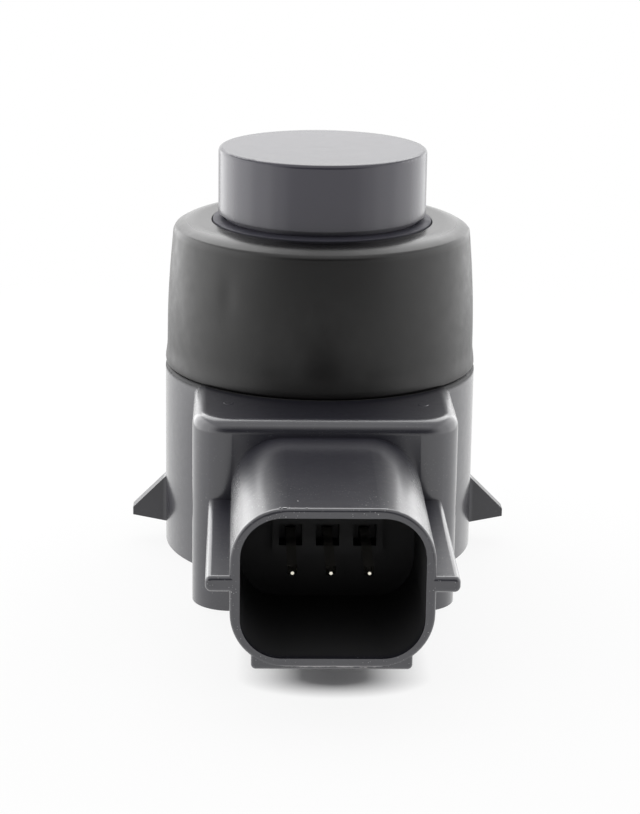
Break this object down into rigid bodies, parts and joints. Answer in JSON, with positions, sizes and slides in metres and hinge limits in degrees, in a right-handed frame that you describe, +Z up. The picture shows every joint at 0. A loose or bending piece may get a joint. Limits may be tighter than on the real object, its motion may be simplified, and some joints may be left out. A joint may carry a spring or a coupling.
{
  "type": "parking sensor",
  "caption": "Ultrasonic parking sensor: painted round membrane in a rubber collar, standing on a moulded body with latch barbs and a railed plug socket at its side.",
  "frame": {"origin": "on the sounding axis, in the plane of the flat base", "axes": "+Z up the sounding axis towards the membrane, -Y out of the connector's mouth, +X to the right when looking into the mouth"},
  "size_m": [0.0284, 0.0447, 0.0303],
  "materials": {
    "housing_plastic": "satin",
    "cover_plastic": "satin",
    "collar_rubber": "matte",
    "ring_silicone": "satin",
    "cup_paint": "satin",
    "disc_ceramic": "matte",
    "pad_foam": "matte",
    "carrier_plastic": "satin",
    "lead_copper": "satin",
    "board_laminate": "satin",
    "chip_resin": "matte",
    "coil_ferrite": "matte",
    "can_metal": "satin",
    "chip_ceramic": "matte",
    "pin_plating": "bright"
  },
  "bodies": {
    "root": {"housing": "housing_plastic", "rear_cover": "cover_plastic", "seal_collar": "collar_rubber", "decoupling_ring": "ring_silicone", "membrane_cup": "cup_paint", "piezo_disc": "disc_ceramic", "damping_pad": "pad_foam", "contact_carrier": "carrier_plastic", "signal_lead": "lead_copper", "earth_lead": "lead_copper", "circuit_board": "board_laminate", "driver_chip": "chip_resin", "coil_core": "coil_ferrite", "coil_winding": "lead_copper", "storage_capacitor": "can_metal", "tuning_capacitor": "chip_ceramic", "blocking_diode": "chip_resin", "chip_resistors": "chip_resin", "chip_capacitors": "chip_ceramic", "left_pin": "pin_plating", "middle_pin": "pin_plating", "right_pin": "pin_plating"}
  },
  "joints": []
}
